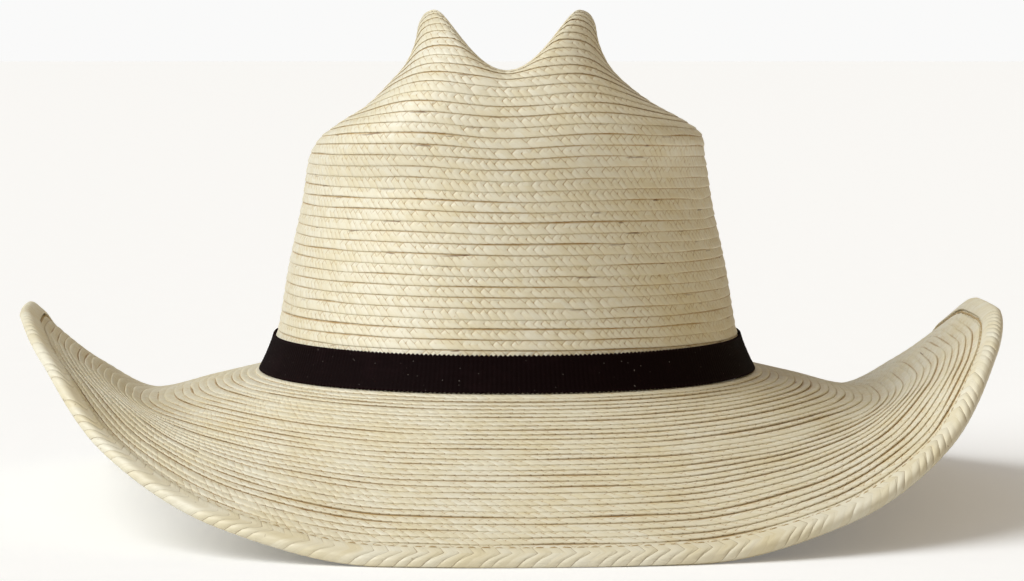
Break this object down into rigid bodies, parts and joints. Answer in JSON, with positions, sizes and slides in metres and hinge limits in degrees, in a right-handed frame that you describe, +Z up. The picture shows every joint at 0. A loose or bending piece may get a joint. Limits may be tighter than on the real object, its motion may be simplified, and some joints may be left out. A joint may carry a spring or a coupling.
{
  "type": "cowboy hat",
  "caption": "Western palm-straw hat: creased crown and curled brim of sewn braid, wired folded rim, fitted sweatband and black elastic hatband.",
  "frame": {"origin": "on the floor under the middle of the hat, which stands on the front and back of its brim", "axes": "+Z up; the wearer faces -Y, so +X is the wearer's left; the hat is longest along Y"},
  "size_m": [0.3528, 0.396, 0.1764],
  "materials": {
    "palm_straw": "sewn palm-leaf braid, satin",
    "rim_straw": "coarser folded palm-leaf braid, satin",
    "wire_steel": "drawn spring wire",
    "brown_thread": "waxed sewing thread",
    "sweatband_leather": "smooth dyed leather, satin",
    "pad_foam": "open-cell foam, matte",
    "reed_plastic": "extruded plastic, satin",
    "seam_tape": "woven tape, matte",
    "label_cloth": "blank woven label, matte",
    "bow_satin": "satin ribbon",
    "ribbon_grosgrain": "black elastic grosgrain, matte"
  },
  "bodies": {
    "hat": {"crown_tip_braid": "palm_straw", "crown_wall_braid": "palm_straw", "brim_inner_braid": "palm_straw", "brim_outer_braid": "palm_straw", "rim_fold_braid": "rim_straw", "rim_wire": "wire_steel", "rim_wire_sleeve": "wire_steel", "rim_stitching": "brown_thread", "sweatband": "sweatband_leather", "sweatband_stitching": "brown_thread", "forehead_pad": "pad_foam", "sweatband_reed": "reed_plastic", "reed_sleeve": "reed_plastic", "sweatband_seam_patch": "seam_tape", "size_label": "label_cloth", "sweatband_bow": "bow_satin"},
    "hatband": {"hatband_ribbon": "ribbon_grosgrain", "hatband_seam_tab": "ribbon_grosgrain"}
  },
  "joints": [
    {"name": "hatband_lift", "type": "slide", "parent": "hat", "child": "hatband", "axis": [0, 0, 1], "range_m": [0, 0.14]}
  ]
}
